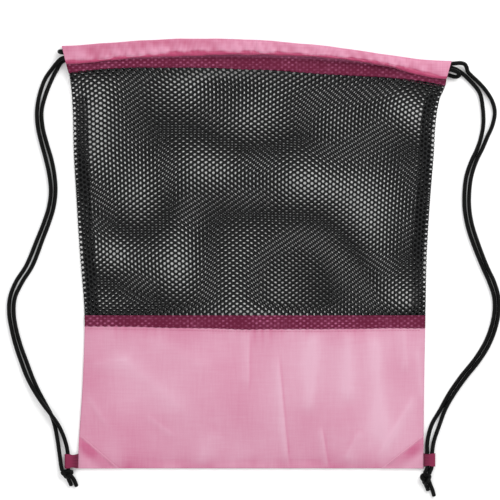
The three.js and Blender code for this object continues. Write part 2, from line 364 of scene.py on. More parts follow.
# %%
# Uneven threads
def uneven(material, where, stretch):
    """Threads that vary: a noise drawn out along one axis, 0 to 1."""
    drawn = node(material, "ShaderNodeVectorMath", operation="MULTIPLY")
    link(material, where, drawn.inputs[0])
    drawn.inputs[1].default_value = stretch
    noise = node(material, "ShaderNodeTexNoise", scale=1.0, detail=1.0)
    link(material, drawn.outputs[0], noise.inputs["Vector"])
    return noise.outputs["Fac"]


# %%
# Cloth finish
def cloth(name, light, deep, roughness, sheen, threads, bump=0.15, patchy=0.08):
    """Woven cloth: light where the piece's shade value is 0, deep where it is 1. The shade value is
    mostly painted shade and painted light; on the bands it is chiefly the net's dots.

    Its bump is the larger of two crossed ripples, threads to the metre. A slow noise and the
    uneven threads each way vary the colour by patchy.
    """
    material, shader = plain(name, light, roughness)
    where = node(material, "ShaderNodeTexCoord").outputs["Object"]
    shade = node(material, "ShaderNodeAttribute", attribute_name="shade").outputs["Fac"]
    slow = node(material, "ShaderNodeTexNoise", scale=38.0, detail=4.0)
    link(material, where, slow.inputs["Vector"])
    yarns = math_node(material, "ADD", uneven(material, where, (50, 800, 50)),
                      uneven(material, where, (800, 50, 50)))
    noises = math_node(material, "ADD", yarns, slow.outputs["Fac"])
    varied = math_node(material, "MULTIPLY", math_node(material, "SUBTRACT", noises, 1.5), patchy * 4)
    amount = math_node(material, "ADD", varied, shade)
    amount.node.use_clamp = True
    colour = node(material, "ShaderNodeMix", data_type="RGBA")
    link(material, amount, colour.inputs["Factor"])
    colour.inputs[6].default_value = (*light, 1)
    colour.inputs[7].default_value = (*deep, 1)
    link(material, colour.outputs[2], shader.inputs["Base Color"])
    weave = math_node(material, "MAXIMUM", ripple(material, where, "X", threads),
                      ripple(material, where, "Y", threads))
    raised = node(material, "ShaderNodeBump", strength=bump, distance=0.0002)
    link(material, weave, raised.inputs["Height"])
    link(material, raised.outputs["Normal"], shader.inputs["Normal"])
    shader.inputs["Sheen Weight"].default_value = sheen
    shader.inputs["Sheen Roughness"].default_value = 0.35
    shader.inputs["Specular IOR Level"].default_value = 0.4 if sheen > 0.1 else 0.12
    return material


# %%
# The cloths: light colour, deep colour where the shade value is 1 (mostly painted shade), roughness,
# sheen, threads to the metre
pink = cloth("pink_taffeta", (0.605, 0.34, 0.442), (0.45, 0.095, 0.20), 0.5, 0.25, 3000, patchy=0.05)
casing_pink = cloth("casing_taffeta", (0.56, 0.228, 0.34), (0.36, 0.035, 0.11), 0.45, 0.25, 3000)
maroon = cloth("pink_over_net", (0.103, 0.0066, 0.029), (0.42, 0.12, 0.23), 0.65, 0.05, 3000)
tab_pink = cloth("tab_webbing", (0.20, 0.020, 0.060), (0.10, 0.009, 0.03), 0.6, 0.1, 1100, 0.5)
black = cloth("black_tape", (0.007, 0.007, 0.008), (0.003, 0.003, 0.003), 0.75, 0, 1800, 0.3)
net = cloth("black_net", (0.0175, 0.018, 0.0185), (0.003, 0.003, 0.003), 0.7, 0, 4000, 0.3)
thread = cloth("pink_thread", (0.56, 0.17, 0.28), (0.4, 0.08, 0.16), 0.5, 0.2, 6000, 0.3)


# %%
# Braided cord finish, in the tube's own coordinates
def braid(name, colour):
    """Black cord whose bump is the product of two slanted ripples round and along the tube."""
    material, shader = plain(name, colour, 0.35)
    own = node(material, "ShaderNodeUVMap", uv_map="UVMap").outputs["UV"]
    parts = node(material, "ShaderNodeSeparateXYZ")
    link(material, own, parts.inputs[0])
    round_it = math_node(material, "MULTIPLY", parts.outputs["X"], 2 * np.pi * 8)
    along = math_node(material, "MULTIPLY", parts.outputs["Y"], 2 * np.pi * 0.6)
    one = math_node(material, "SINE", math_node(material, "ADD", round_it, along), 0)
    other = math_node(material, "SINE", math_node(material, "SUBTRACT", round_it, along), 0)
    raised = node(material, "ShaderNodeBump", strength=0.6, distance=0.0002)
    link(material, math_node(material, "MULTIPLY", one, other), raised.inputs["Height"])
    link(material, raised.outputs["Normal"], shader.inputs["Normal"])
    shader.inputs["Specular IOR Level"].default_value = 0.08
    return material


black_cord = braid("black_cord", (0.0015, 0.0015, 0.0015))
print("finishes made:", len(bpy.data.materials))

# %% [markdown]
# ## Cords
# Each drawstring is a round braided cord a little over 4 mm thick. It could be a curve with a
# bevel, but a mesh tube can carry the braid in its real surface and its own coordinates for the
# finish. The tube is carried along a smooth path by a frame that never twists.


# %%
# Lengths along a path
def reached(path):
    """How far along the path each of its points is."""
    return np.concatenate([[0], np.cumsum(np.linalg.norm(np.diff(path, axis=0), axis=1))])


def length_of(path):
    return reached(path)[-1]


def points_at(path, lengths):
    """The points that lie at these lengths along the path."""
    along = reached(path)
    return np.stack([np.interp(lengths, along, column) for column in path.T], -1)


# %%
# Smooth path through points
def smooth(points, step):
    """Points every step millimetres along the cubic path through the given ones, with spans
    timed by the square root of their length so that it doesn't loop at a tight corner."""
    points = np.asarray(points, float)
    timing = np.concatenate([[0], np.cumsum(np.linalg.norm(np.diff(points, axis=0), axis=1) ** 0.5)])
    ends = np.vstack([2 * points[0] - points[1], points, 2 * points[-1] - points[-2]])
    clock = np.concatenate([[-timing[1]], timing, [2 * timing[-1] - timing[-2]]])
    slope = np.diff(ends, axis=0) / np.diff(clock)[:, None]
    share = np.diff(clock)[1:, None] / (np.diff(clock)[1:] + np.diff(clock)[:-1])[:, None]
    lean = slope[:-1] * share + slope[1:] * (1 - share)
    t = np.linspace(0, timing[-1], 40 * len(points))
    i = np.clip(np.searchsorted(timing, t) - 1, 0, len(timing) - 2)
    span = (timing[i + 1] - timing[i])[:, None]
    p = (t - timing[i])[:, None] / span
    dense = ((1 - p) ** 2 * ((1 + 2 * p) * points[i] + p * span * lean[i])
             + p**2 * ((3 - 2 * p) * points[i + 1] + (p - 1) * span * lean[i + 1]))
    long = length_of(dense)
    return points_at(dense, np.linspace(0, long, max(4, int(long / step) + 1)))


# %%
# Frames that don't twist
def frames(path):
    """Side and normal at each point; each side is the last one less its part along the new
    tangent, so the frame doesn't twist."""
    tangent = np.gradient(path, axis=0)
    tangent /= np.linalg.norm(tangent, axis=1)[:, None]
    side = np.empty_like(path)
    last = np.cross(tangent[0], (0.1, 0.2, 1))
    for i, t in enumerate(tangent):
        last = last - t * (last @ t)
        last /= np.linalg.norm(last)
        side[i] = last
    return side, np.cross(tangent, side)


# %%
# Tubes
def tube(path, radius, sides=24, relief=0.05, lobes=4, lay=0.3):
    """A closed tube round path. Its radius is less by relief where two slanted ripples agree:
    sin(lobes a + lay s) sin(lobes a - lay s), a the turn round it and s the length along it.
    Each end is closed by a strip of quads across its ring."""
    side, normal = frames(path)
    along = reached(path)
    turn = np.linspace(0, 2 * np.pi, sides, endpoint=False)
    slant = 2 * np.pi * lay * along[:, None]
    pattern = np.sin(lobes * turn + slant) * np.sin(lobes * turn - slant)
    width = np.broadcast_to(radius, len(path))[:, None] * (1 - relief / 2 + relief / 2 * pattern)
    ring = np.cos(turn)[:, None] * side[:, None] + np.sin(turn)[:, None] * normal[:, None]
    points = path[:, None] + width[..., None] * ring
    uv = np.stack(np.broadcast_arrays(turn / (2 * np.pi), along[:, None]), -1)
    i = np.arange(sides // 2 - 1)
    cap = np.stack([i, i + 1, sides - 2 - i, sides - 1 - i], -1)
    faces = [grid_faces(len(path), sides, ring=True), cap[:, ::-1], cap + points.size // 3 - sides]
    return points, np.concatenate(faces), uv


def cord(name, path, radius, **shape):
    """A tube of black cord along path."""
    points, faces, uv = tube(path, radius, **shape)
    return make(f"{name.replace('_cord', '')}_cord", points, faces, black_cord, uv)


print("a smooth bend:", len(smooth([(10, 0, 0), (0, 10, 0), (-10, 0, 0)], 1)), "points")

# %% [markdown]
# ## Four strands, and the loops at the mouth
# Where a cord leaves its casing it runs down beside the bag to the tab at the bottom corner.
# The left front strand crosses above the back one before it goes through its tab. A short bight
# joins each cord's two runs at the other end of the mouth, over a tack that holds the hem.

# %%
# Routes, in millimetres; a point without a height lies on the table
ROUTES = {
    "right_cord_bight": [
        (-184.3, 202.3, 10.6), (-190.4, 202.4, 10.4), (-195, 202.3, 9.4), (-196.9, 202, 7),
        (-195.8, 201.5, 4.2), (-190.4, 201, 3.1), (-184.3, 200.8, 3.1),
    ],
    "left_cord_bight": [
        (184.3, 184.8, 10.6), (190.5, 184, 10.4), (196.8, 183, 9.6), (201.2, 180.9, 7.9),
        (202.3, 178.2, 6.1), (198.8, 176.8, 3.9), (191.8, 178.7, 3.1), (184.3, 180, 3.1),
    ],
    "left_front_strand": [
        (-184.3, 196.3, 10.6), (-190, 196.1, 10.6), (-195.4, 194.6, 9.2), (-200, 190.2, 6),
        (-205, 184, 3.2), (-211, 175.3), (-216.7, 160), (-219.6, 142.2), (-218.6, 126.2),
        (-215, 110.3), (-210.7, 94.4), (-207.2, 78.4), (-205.7, 62.5), (-207.7, 46.5),
        (-212.8, 30.6), (-219.2, 14.6), (-230.4, -12.1), (-240.6, -28.1), (-246.6, -44),
        (-247.4, -60), (-244.8, -75.9), (-240.8, -91.9), (-235.4, -107.8), (-229.2, -123.8, 3),
        (-221.5, -138, 4.7), (-213.4, -150.2, 6.6), (-204.6, -161.6, 7), (-197.4, -172.4, 5),
        (-192.2, -184.4, 3.2), (-189.2, -196, 3), (-188.4, -205, 3), (-188.2, -211, 3),
        (-188.2, -216, 3.2),
    ],
    "left_back_strand": [
        (-184.3, 194.6, 3.1), (-189.8, 194.1, 3.2), (-195.3, 191.1, 2.9), (-199.7, 184),
        (-204.3, 175.2), (-211, 158.6), (-214.9, 142.2), (-213.8, 126.2), (-209.8, 110.3),
        (-205.1, 94.4), (-202, 78.4), (-201, 62.5), (-202.9, 46.5), (-207.7, 30.6), (-213.8, 14.6),
        (-224.2, -12.1), (-234.2, -28.1), (-241.6, -44), (-242.7, -60), (-240.2, -75.9),
        (-235.8, -91.9), (-230, -107.8), (-224, -123.8), (-217.6, -138), (-210.6, -150.9),
        (-205.6, -160.4), (-201.8, -171.6), (-198.8, -187.5), (-196.3, -205.1),
        (-195.3, -212.6, 2.8), (-194.4, -216.4, 3.4),
    ],
    "right_front_strand": [
        (184.3, 190.2, 10.6), (190, 189.6, 10.5), (197, 190, 9.6), (203.6, 190.5, 8),
        (207.8, 189.4, 6.2), (209.8, 186.4, 4.5), (211, 182.2, 3.1), (215.6, 177.2), (222, 171.2),
        (228.6, 163.8), (235.4, 152.8), (238.1, 141.6), (235.8, 128.6), (230.6, 116.7),
        (225.6, 105), (220.3, 94.4), (214.9, 78.4), (212.7, 62.5), (212.6, 46.5), (215, 30.6),
        (219.9, 14.6), (230, -12.1), (237.4, -28.1), (241.9, -44), (241.8, -59.9), (238.3, -75.7),
        (232, -91.5), (222.2, -107.2), (209.4, -123.2), (197.8, -139.4), (188.7, -155.3),
        (182.6, -171.6), (177.2, -187.5, 2.6), (175.5, -198.7, 3), (175.2, -207, 3),
        (174.9, -213.6, 3.2), (173.2, -218.2, 3.6),
    ],
    "right_back_strand": [
        (184.3, 187.3, 3.1), (189.5, 187, 3.1), (195, 186, 2.8), (200.5, 183.8), (206, 180),
        (211, 175.2), (216.6, 169.5), (223, 160.7), (226, 146.6), (226.6, 129.4), (224, 115.1),
        (219.9, 103.4), (215.1, 93.4), (209.9, 78.4), (207.8, 62.5), (207.8, 46.5), (210.2, 30.6),
        (214.9, 14.6), (225, -11.1), (232.5, -28.1), (237.5, -44), (237.6, -59), (234.3, -74.2),
        (228, -89.8), (218, -105.7), (204.4, -122.6), (193, -139), (183.5, -156), (174.7, -171.6),
        (170.8, -187.5, 2.6), (170.4, -198.7, 3), (170.4, -207, 3), (170.7, -213.6, 3.2),
        (168.4, -218.4, 3.6),
    ],
}

# %%
# Strands and bights
CORD = 2.1
ON_TABLE = 2.25
BIGHTS = {"right_cord_bight": "left_mouth_end", "left_cord_bight": "right_mouth_end"}
STRANDS = [name for name in ROUTES if name.endswith("strand")]
paths = {name: smooth([(*point, ON_TABLE)[:3] for point in points], 0.7)
         for name, points in ROUTES.items()}
cords = {name: cord(name, path, CORD) for name, path in paths.items()}
for name, end in BIGHTS.items():
    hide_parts(name)
    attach(cords[name], end)
for name in STRANDS:
    follow(cords[name], name.split("_")[0], "black_cord", name)
print({name: round(length_of(path)) for name, path in paths.items()})

# %% [markdown]
# ## Cords inside the casings
# Both cords lie side by side in each casing. They can't be seen from outside, but they give
# the casing its fullness, and they are there when a mouth end is drawn in.

# %%
# Runs through the casings
RUNS = {
    "right_cord_front_run": [(-184, 3.1), (0, 2.4), (120, 2.6), (184, 5.4)],
    "left_cord_front_run": [(-184, -3), (0, -2.4), (120, -2.2), (184, 0)],
    "right_cord_back_run": [(-184, 1.6), (0, 2.4), (120, 2.4), (184, 2.6)],
    "left_cord_back_run": [(-184, -4.6), (0, -2.4), (120, -2.4), (184, -4.8)],
}
CASING_THICK = 6.2
RUN_ENDS = {"left": -184, "right": 184}


def casing_height(x):
    """Height of the front casing's underside: a low arch across the mouth."""
    return 6.8 + 8.5 * (1 - (x / 192) ** 2)


def thickness_at(x):
    """Casing thickness: a flatter tube where it is narrow from top to bottom."""
    return CASING_THICK + 0.35 * np.maximum(0, 19.2 - (casing_top(x) - casing_bottom(x)))


for name, offsets in RUNS.items():
    for side, start in RUN_ENDS.items():
        x = np.linspace(start, 0, 93)
        low = casing_height(x) if "front" in name else 0 * x
        y = (casing_top(x) + casing_bottom(x)) / 2 + through(offsets)(x)
        path = np.stack([x, y, low + thickness_at(x) / 2], -1)
        half = cord(f"{name}_{side}", path, CORD, sides=16)
        follow(half, side, "black_cord", name)

# %% [markdown]
# ## Knots and cord ends
# Below each tab the two ends of that side's cord are tied together in one overhand knot. The
# knot is a real loop of tube pulled tight. Its line goes round like a trefoil, (sin t + 2 sin 2t,
# cos t - 2 cos 2t, -sin 3t), squeezed to the knot's measured width, height and thickness. Each
# cord goes on through its knot, and its cut end sticks out below with the tip melted shut, so
# its radius narrows there.

# %%
# Knots
KNOTS = {
    "left_knot": ((-189.4, -219.6, 4), (7, 5.4, 4)),
    "right_knot": ((169, -224.6, 4.3), (6.3, 6.9, 4.3)),
}
TAILS = {
    "left_knot_outer_tail": [(-188.2, -215.6, 3.2), (-188.6, -220, 3.6), (-187.6, -226, 3),
                             (-186.2, -229, 2.4), (-185, -232.2, 2.25)],
    "left_knot_inner_tail": [(-194.4, -216, 3.4), (-190.4, -219.6, 4.4), (-184.4, -223.2, 3.4),
                             (-181.4, -228.4, 2.4), (-179.8, -232.9, 2.25)],
    "right_knot_inner_tail": [(168.5, -218, 3.6), (167.8, -223, 4.4), (169.2, -230.6, 3.2),
                              (170.6, -234, 2.4), (171.6, -237.1, 2.25)],
    "right_knot_outer_tail": [(173.3, -217.8, 3.6), (171.6, -223, 4), (173.4, -230, 3),
                              (175.6, -235.5, 2.4), (177.6, -242.7, 2.25)],
}
t = np.linspace(0, 2 * np.pi, 200)
trefoil = np.stack([np.sin(t) + 2 * np.sin(2 * t), np.cos(t) - 2 * np.cos(2 * t), -np.sin(3 * t)], -1)
PULLED = 1.95
for name, (centre, reach) in KNOTS.items():
    line = np.array(centre) + trefoil / (3, 3, 1) * (np.array(reach) - PULLED)
    cords[name] = follow(cord(name, line, PULLED), None, "black_cord", name)
for name, points in TAILS.items():
    line = smooth(points, 0.3)
    tip = length_of(line) - reached(line)
    radius = CORD * np.sqrt(1 - 0.75 * (1 - np.clip(tip / 1.2, 0, 1)) ** 2)
    cords[name] = follow(cord(name, line, radius), None, "black_cord", name)
for name in STRANDS:
    side, layer = name.split("_")[:2]
print("cord pieces:", len(cords))

# %% [markdown]
# ## Folds in the cloth
# A bag that was folded in a packet keeps a few sharp creases, and the seams round it gather the
# cloth a little. Each crease is a line with a narrow ridge across it that fades at its ends;
# the gathers under the black band are a ripple that dies away downwards. A cloth simulation
# would make believable folds too, but not these folds in these places.

# %%
# Creases of the front: (start, end, height, width to the left, width to the right)
CREASES = [
    ((20, -96), (31.7, -218), 1.1, 6.0, 1.5),
    ((64, -172), (71.5, -218), 0.8, 5.0, 1.4),
    ((-8, -68), (-9, -136), 0.8, 8.0, 1.6),
    ((58, -70), (52, -162), 1.3, 11.0, 7.0),
    ((92, -70), (91, -150), 1.2, 9.0, 8.0),
    ((116, -70), (127, -192), 1.4, 12.0, 8.0),
    ((146, -70), (150, -120), 0.7, 6.0, 4.0),
    ((-146, -94), (-66, -162), 0.6, 11.0, 9.0),
    ((-112, -82), (-40, -118), 0.5, 13.0, 9.0),
    ((-172, -138), (-148, -174), 0.4, 3.0, 4.0),
    ((-112, -160), (-80, -184), 0.35, 4.0, 2.6),
    ((120, -206), (160, -140), 0.8, 6.0, 4.0),
    ((160, -90), (167, -150), 0.6, 4.0, 3.0),
    ((-60, -212), (-40, -176), 0.4, 8.0, 6.0),
    ((88, -208), (104, -176), 0.6, 5.0, 3.0),
    ((-168, -112), (-124, -105), 0.5, 7.0, 5.0),
]


# %%
# One crease
def crease(x, y, start, end, height, left, right):
    """height times exp(-(distance / width) ** 1.5), faded over the first and last fifth.

    Its width is left on the left of the way from start to end, seen from above, and right on
    the other side, so a fold can have one soft flank and one sharp one."""
    start, end = np.array(start, float), np.array(end, float)
    way = end - start
    span = np.hypot(*way)
    t = ((x - start[0]) * way[0] + (y - start[1]) * way[1]) / span**2
    away = ((x - start[0]) * way[1] - (y - start[1]) * way[0]) / span
    away = away / np.where(away > 0, left, right)
    ends = fade(-0.02, 0.22, t) * (1 - fade(0.8, 1.04, t))
    return height * np.exp(-np.abs(away) ** 1.5) * ends


# %%
# Slow unevenness
def wander(x, y, seed, count=14, longest=130, shortest=24):
    """A sum of sine waves in random directions, each with a height in step with its length."""
    rng = np.random.default_rng(seed)
    total = 0
    for _ in range(count):
        turn, phase = rng.uniform(0, 2 * np.pi, 2)
        wave = rng.uniform(shortest, longest)
        slide = (x * np.cos(turn) + y * np.sin(turn)) * 2 * np.pi / wave + phase
        total = total + np.sin(slide) * wave / longest
    return total / np.sqrt(count)


# %%
# Undersides of the two layers
def folds(x, y):
    """All the creases together."""
    return sum(crease(x, y, *each) for each in CREASES)


def front(x, y):
    """Underside of the front layer with its creases, gathers and slow unevenness, which all
    fade out towards the sewn edges."""
    edge = 1 - np.abs(across(x, y))
    inside = fade(0, 0.1, edge) * fade(BOTTOM, BOTTOM + 9, y)
    below = panel_top(x) - y
    beat = x + 5 * np.sin(x / 17) + 1.5 * np.sin(x / 7.3)
    gathers = 0.26 * np.sin(2 * np.pi * beat / 11) * (1 + 0.6 * np.sin(x / 31 + 1))
    gathers = gathers * np.exp(-np.maximum(below, 0) / 9) * fade(-14, 0, below)
    hem = 0.2 * np.sin(2 * np.pi * (x + 7 * np.sin(x / 23)) / 17) * np.exp(-(y - BOTTOM) / 7)
    slow = 1.0 * wander(x, y, 4)
    return crown(x, y) + inside * (folds(x, y) + slow + gathers) + fade(0, 0.05, edge) * (hem + 0.35)


def back(x, y):
    """Underside of the back layer, which lies flat on the table but for slight rises."""
    inside = fade(0, 0.1, 1 - np.abs(across(x, y)))
    return 0.35 * inside * np.clip(wander(x, y, 9, longest=90), 0, 1)


# %% [markdown]
# ## Panels
# The lower third is plain pink taffeta, front and back. Each panel is a closed sheet: its top and
# under side are the same folded surface, a cloth's thickness apart. Its shade value grows where the
# surface dips below its surroundings, painted shade that deepens the colour there.

# %%
# Grids between two lines
GAP = 0.25
HALVES = {"left": (left_edge, 0), "right": (0, right_edge)}


def edge_at(edge, y):
    """An edge's x at y; an edge is a line of its own or one fixed x."""
    return edge(y) if callable(edge) else edge + 0 * y


def between(low, high, sides, columns, rows):
    """A grid of x and y: y goes from the line low to high, x from one side to the other."""
    s = np.linspace(0, 1, columns)
    v = np.linspace(0, 1, rows)[:, None]
    start, end = (edge_at(side, np.array(-60.0)) for side in sides)
    guess = lerp(start, end, s)
    y = lerp(low(guess) + GAP, high(guess) - GAP, v)
    return lerp(edge_at(sides[0], y), edge_at(sides[1], y), s), y


# %%
# Closed sheets
def dips(x, y, height, reach=2.2, depth=0.8):
    """0 to 1: how far the surface lies below its mean a little way to each side."""
    mean = sum(height(x + dx, y + dy) for dx, dy in ((reach, 0), (-reach, 0), (0, reach), (0, -reach)))
    return np.clip((mean / 4 - height(x, y)) / depth, 0, 1)


def cloth_sheet(name, x, y, height, thickness, material, more=0):
    """A closed sheet over the grid x, y at height(x, y), with painted shade from its dips, plus more.
    """
    under = np.stack([x, y, height(x, y)], -1)
    over = under + (0, 0, thickness)
    points, faces = slab(under, over)
    shade = np.clip(dips(x, y, height) + more, 0, 1)
    return make(name, points, faces, material, shade=shade)


def size_of(x, y):
    """Mean width and length of a grid's sheet, in metres."""
    width = np.hypot(np.diff(x, axis=1), np.diff(y, axis=1)).sum(1).mean()
    length = np.hypot(np.diff(x, axis=0), np.diff(y, axis=0)).sum(0).mean()
    return float(width * MM), float(length * MM)


# %%
# Lower panels
LAYERS = {"front": front, "back": back}
both = (left_edge, right_edge)
for layer, height in LAYERS.items():
    x, y = between(bottom, panel_top, both, 300 if layer == "front" else 150, 150)
    y = y + np.linspace(0, 1, 150)[:, None] ** 8  # the last rows go on under the band
    # Tone: deeper towards the bottom and just under the band, and uneven at random; painted light
    # makes it lighter towards the right, and painted highlights lighten the front's creases.
    tone = 0.24 * np.exp(-(y - BOTTOM) / 16) + 0.22 * np.exp(-(panel_top(x) - y) / 7)
    tone = tone * (1 + 0.8 * wander(x, y, 60, 8, 60, 14)) - 0.0004 * x + 0.35
    tone = tone + 0.12 * wander(x, y, 52, 14, 120, 24) - 0.26 * folds(x, y) * (layer == "front")
    panel = cloth_sheet(f"{layer}_lower_panel_cloth", x, y, height, 0.5, pink, tone)
    follow(panel, None, "pink_taffeta", f"{layer}_lower_panel")

# %% [markdown]
# ## Bands
# Above and below the window the net runs on under a strip of the thin pink cloth. The black yarn shows
# through as maroon, and each hole of the net as a faint lighter dot. The dots are part of the surface:
# it sinks a little at each one, and its shade value is the dot's depth. Along the upper band's top
# edge the shade value also holds painted light.


# %%
# Dots of the net under a band
COLUMN, ROW = 3.6, 4.96


def dots(x, y):
    """1 in the middle of each hole of a staggered net and 0 on its yarn, from the product
    cos(pi x / column) cos(2 pi y / row), which peaks once in each hole."""
    return fade(0.2, 0.9, np.cos(np.pi * x / COLUMN) * np.cos(2 * np.pi * y / ROW))


def dotted(x, y, seed):
    """Dots that come and go along the band."""
    strength = np.clip(0.44 + 0.45 * wander(x, y, seed, 14, 40, 6), 0.25, 1)
    return dots(x + wander(x, y, seed + 1), y) * strength


# %%
# Bands over the net: halves or whole, lower and upper line, columns, rows
BAND_GRIDS = {
    "lower": (None, (panel_top, net_bottom), 560, 22),
    "upper": ("halves", (net_top, casing_bottom), 300, 24),
}
for layer, height in LAYERS.items():
    for band, (halves, lines, columns, rows) in BAND_GRIDS.items():
        for side, sides in (HALVES if halves else {None: both}).items():
            x, y = between(*lines, sides, columns, rows)
            v = np.linspace(0, 1, rows)[:, None]
            ragged = 0.35 * wander(x, 0 * x, 48, 12, 70, 14) - 0.25 * np.cos(np.pi * x / COLUMN) - 0.3
            y = y + lerp(ragged, 1.5 if halves else 0.3, v)
            spots = dotted(x, y, 40)
            under = np.stack([x, y, height(x, y) + 0.62 - 0.1 * spots], -1)
            points, faces = slab(under, under + (0, 0, 0.35))
            name = "_".join(part for part in (layer, band, "band_cloth", side) if part)
            # Painted light along the upper band's top edge, against the casing's shadow there.
            spots = np.clip(spots + 0.45 * fade(0.7, 0.9, v) * bool(halves), 0, 1)
            strip = make(name, points, faces, maroon, shade=spots)
            follow(strip, side, "banded_net", f"{layer}_{band}_band")
            print(name, [round(length / MM) for length in size_of(x, y)])

# %% [markdown]
# ## The net
# A knitted mesh has round holes in staggered columns, 3.6 mm apart across and 5 mm along. An
# image with holes in it would be flat; here each cell is a six-sided patch of yarn round its own
# hole, thickest along the line halfway to the next hole. The patches share their outer points,
# so the net is one closed surface. The back net is pulled a little differently, which makes the
# slow light and dark patches seen when one net lies over another.


# %%
# Net cells
def net_cells(wide, high, hole, shift):
    """Points (x, y, h) and triangles of a net over wide by high millimetres.

    h is 1 on top, -1 underneath and 0 at a hole's edge. Each cell is a
    hexagon with twelve points round it, joined to twelve points round its oval hole.
    """
    columns, rows = round(wide / COLUMN), round(high / ROW)
    i, j = (a.ravel() for a in np.meshgrid(np.arange(columns), np.arange(rows), indexing="ij"))
    centre = np.stack([i + 0.5, j + 0.25 + 0.5 * ((i + shift) % 2)], -1)
    dx, dy = 2 / 3, 1 / 3
    corner = np.array([(dx, 0), (dy, 0.5), (-dy, 0.5), (-dx, 0), (-dy, -0.5), (dy, -0.5)])
    outer = np.stack([corner, (corner + np.roll(corner, -1, 0)) / 2], 1).reshape(12, 2)
    turn = np.arctan2(outer[:, 1] * ROW, outer[:, 0] * COLUMN)
    inner = np.stack([np.cos(turn) * hole[0] / COLUMN, np.sin(turn) * hole[1] / ROW], -1) / 2
    ring = (centre[:, None] + outer).reshape(-1, 2)
    lip = (centre[:, None] + inner).reshape(-1, 2)
    count = len(ring)
    keys = np.round(ring * 600).astype(int)
    _, first, same = np.unique(keys, axis=0, return_index=True, return_inverse=True)
    same = same.reshape(-1)
    n = len(first)
    points = np.concatenate([np.c_[ring[first], np.full(n, 1.0)], np.c_[ring[first], np.full(n, -1.0)],
                             np.c_[lip, 0 * lip[:, 0]]])
    onward = np.arange(count).reshape(-1, 12)[:, np.r_[1:12, 0]].ravel()
    a, b = same, same[onward]
    c, d = 2 * n + np.arange(count), 2 * n + onward
    lone = ~np.isin(a * n + b, b * n + a)
    e, f = a[lone], b[lone]
    faces = np.concatenate([
        np.stack([a, b, d], -1), np.stack([a, d, c], -1),
        np.stack([a + n, d, b + n], -1), np.stack([a + n, c, d], -1),
        np.stack([f, e, e + n], -1), np.stack([f, e + n, f + n], -1),
    ])
    return points / (columns, rows, 1), faces


# %%
# Net panels
YARN = 0.24
HOLE = (3.14, 2.98)
TUCK = 2.5
for layer, height in LAYERS.items():
    for side, sides in HALVES.items():
        wide, high = (176, 248) if layer == "front" else (171, 238)
        shift = int(layer == "back") if side == "left" else 1
        cells, faces = net_cells(wide, high, HOLE, shift)
        s, v = cells[:, 0], np.clip(cells[:, 1], 0, 1)
        s = np.maximum(s, 0) if side == "left" else np.minimum(s, 1)
        guess = lerp(*(edge_at(e, np.array(-60.0)) for e in sides), s)
        y = lerp(NET_BOTTOM - TUCK, net_top(guess) + TUCK, v)
        x = lerp(edge_at(sides[0], y), edge_at(sides[1], y), s)
        if layer == "back":
            still = fade(0, 0.08, np.minimum(np.abs(s - (side == "right")), np.minimum(v, 1 - v)))
            pull = 2.2 * still * np.stack([wander(x, y, k, 6, 230, 100) for k in (31, 32)])
            x, y = x + pull[0], y + pull[1]
        z = height(x, y) + 0.02 + YARN * (cells[:, 2] + 1)
        # Painted shade: the yarn is deeper underneath than on top, and halfway at each hole's edge.
        shade = np.clip(0.5 - 0.5 * cells[:, 2], 0, 1)
        panel = make(f"{layer}_net_{side}", np.stack([x, y, z], -1), faces, net, shade=shade)
        follow(panel, side, "black_net", f"{layer}_net_panel")

# %% [markdown]
# ## Casings
# The mouth is hemmed front and back into a flat tube that the cords run in. The section of the
# tube is a squarish oval, and its wall is folded into the small slanting wrinkles that a drawn
# hem always has. The wrinkles are two ripples running at a slant, strongest on the face and
# still at the ends.


# %%
# Wrinkles of the hem
WALL = 0.6


def puckers(x, c, half):
    """Height of the wrinkles: two slanting ripples, 15 and 7.3 long, and a slow wandering. They
    are stronger near the lower hem, and still at the mouth's end and at both hems."""
    near_hem = 1 + 1.3 * fade(0.3, -0.7, c)
    slant = x + 0.7 * c * half
    wrinkle = (0.16 * near_hem * np.sin(2 * np.pi * (slant + 7 * np.sin(x / 19)) / 15)
               + 0.09 * near_hem * np.sin(2 * np.pi * (x - 4 * c + 5 * np.sin(x / 11)) / 7.3)
               + 0.5 * wander(x, c * half * 1.6, 21, 16, 70, 20))
    return wrinkle * fade(192, 172, np.abs(x)) * np.clip(1.1 - np.abs(c) ** 6, 0.25, 1)


def scallops(x):
    """Waves of the lower hem: a ripple of uneven length and two plain ones."""
    return 0.5 * np.sin(x / 9.5 + 2 * np.sin(x / 23)) + 0.4 * np.sin(x / 4.1) + 0.3 * np.sin(x / 29)


def walled_tube(outer, inner):
    """Points and quads of a tube with a wall, from two surfaces that are joined at both ends."""
    rows, columns = outer.shape[:2]
    faces, count = grid_faces(rows, columns, ring=True), rows * columns
    j = np.arange(columns)
    k = (j + 1) % columns
    rim = np.stack([j, j + count, k + count, k], -1)
    faces = [faces, faces[:, ::-1] + count, rim, rim[:, ::-1] + (rows - 1) * columns]
    return np.concatenate([outer, inner]), np.concatenate(faces)


